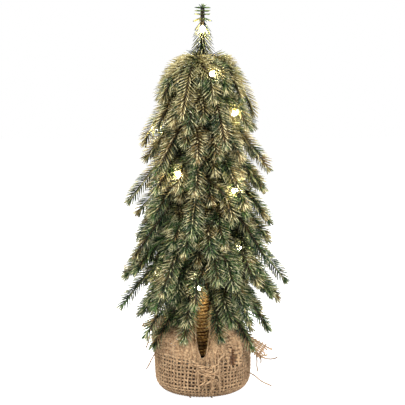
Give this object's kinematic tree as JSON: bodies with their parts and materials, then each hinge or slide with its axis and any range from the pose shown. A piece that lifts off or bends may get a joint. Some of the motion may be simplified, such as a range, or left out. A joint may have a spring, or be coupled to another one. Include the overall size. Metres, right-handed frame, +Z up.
{
  "type": "artificial tabletop tree",
  "caption": "Small artificial fir tree with drooping glittered twigs and warm battery lights, standing on a weighted base wrapped in burlap.",
  "frame": {"origin": "on the trunk's axis, in the plane that the tree stands on", "axes": "+Z up along the trunk; the front, where the burlap opens, faces -Y; +X is to the right seen from the front"},
  "size_m": [0.1631, 0.1459, 0.4],
  "materials": {
    "burlap": "matte",
    "pot_plastic": "satin",
    "cement": "matte",
    "black_plastic": "satin",
    "cell_wrap": "satin",
    "nickel": "satin",
    "board_green": "satin",
    "knob_white": "satin",
    "black_lead": "satin",
    "red_lead": "satin",
    "steel": "satin",
    "bark_wrap": "matte",
    "needles": "satin",
    "silver_wire": "polished",
    "led_epoxy": "gloss"
  },
  "bodies": {
    "tree": {"burlap_wrap": "burlap", "base_pot": "pot_plastic", "cement_weight": "cement", "battery_tray": "black_plastic", "switch_body": "black_plastic", "battery_cell_1": "cell_wrap", "battery_cell_2": "cell_wrap", "bridge_contact": "nickel", "spring_contact": "nickel", "plate_contact": "nickel", "timer_board": "board_green", "lead_negative": "black_lead", "lead_positive": "red_lead", "trunk_rod": "steel", "trunk_wrap": "bark_wrap", "leader_tip": "needles", "spray_01a": "needles", "spray_01b": "needles", "spray_01c": "needles", "spray_02a": "needles", "spray_02b": "needles", "spray_02c": "needles", "spray_03a": "needles", "spray_03b": "needles", "spray_03c": "needles", "spray_04a": "needles", "spray_04b": "needles", "spray_04c": "needles", "spray_05a": "needles", "spray_05b": "needles", "spray_05c": "needles", "spray_06a": "needles", "spray_06b": "needles", "spray_06c": "needles", "spray_07a": "needles", "spray_07b": "needles", "spray_07c": "needles", "spray_08a": "needles", "spray_08b": "needles", "spray_08c": "needles", "spray_09a": "needles", "spray_09b": "needles", "spray_09c": "needles", "spray_10a": "needles", "spray_10b": "needles", "spray_10c": "needles", "light_wire": "silver_wire", "led_01": "led_epoxy", "led_02": "led_epoxy", "led_03": "led_epoxy", "led_04": "led_epoxy", "led_05": "led_epoxy", "led_06": "led_epoxy", "led_07": "led_epoxy", "led_08": "led_epoxy", "led_09": "led_epoxy", "led_10": "led_epoxy"},
    "door": {"battery_door": "pot_plastic"},
    "knob": {"switch_knob": "knob_white"}
  },
  "joints": [
    {"name": "door_lift_off", "type": "slide", "parent": "tree", "child": "door", "axis": [0, 0, -1], "range_m": [0, 0.03]},
    {"name": "switch_slide", "type": "slide", "parent": "tree", "child": "knob", "axis": [1, 0, 0], "range_m": [0, 0.004]}
  ]
}
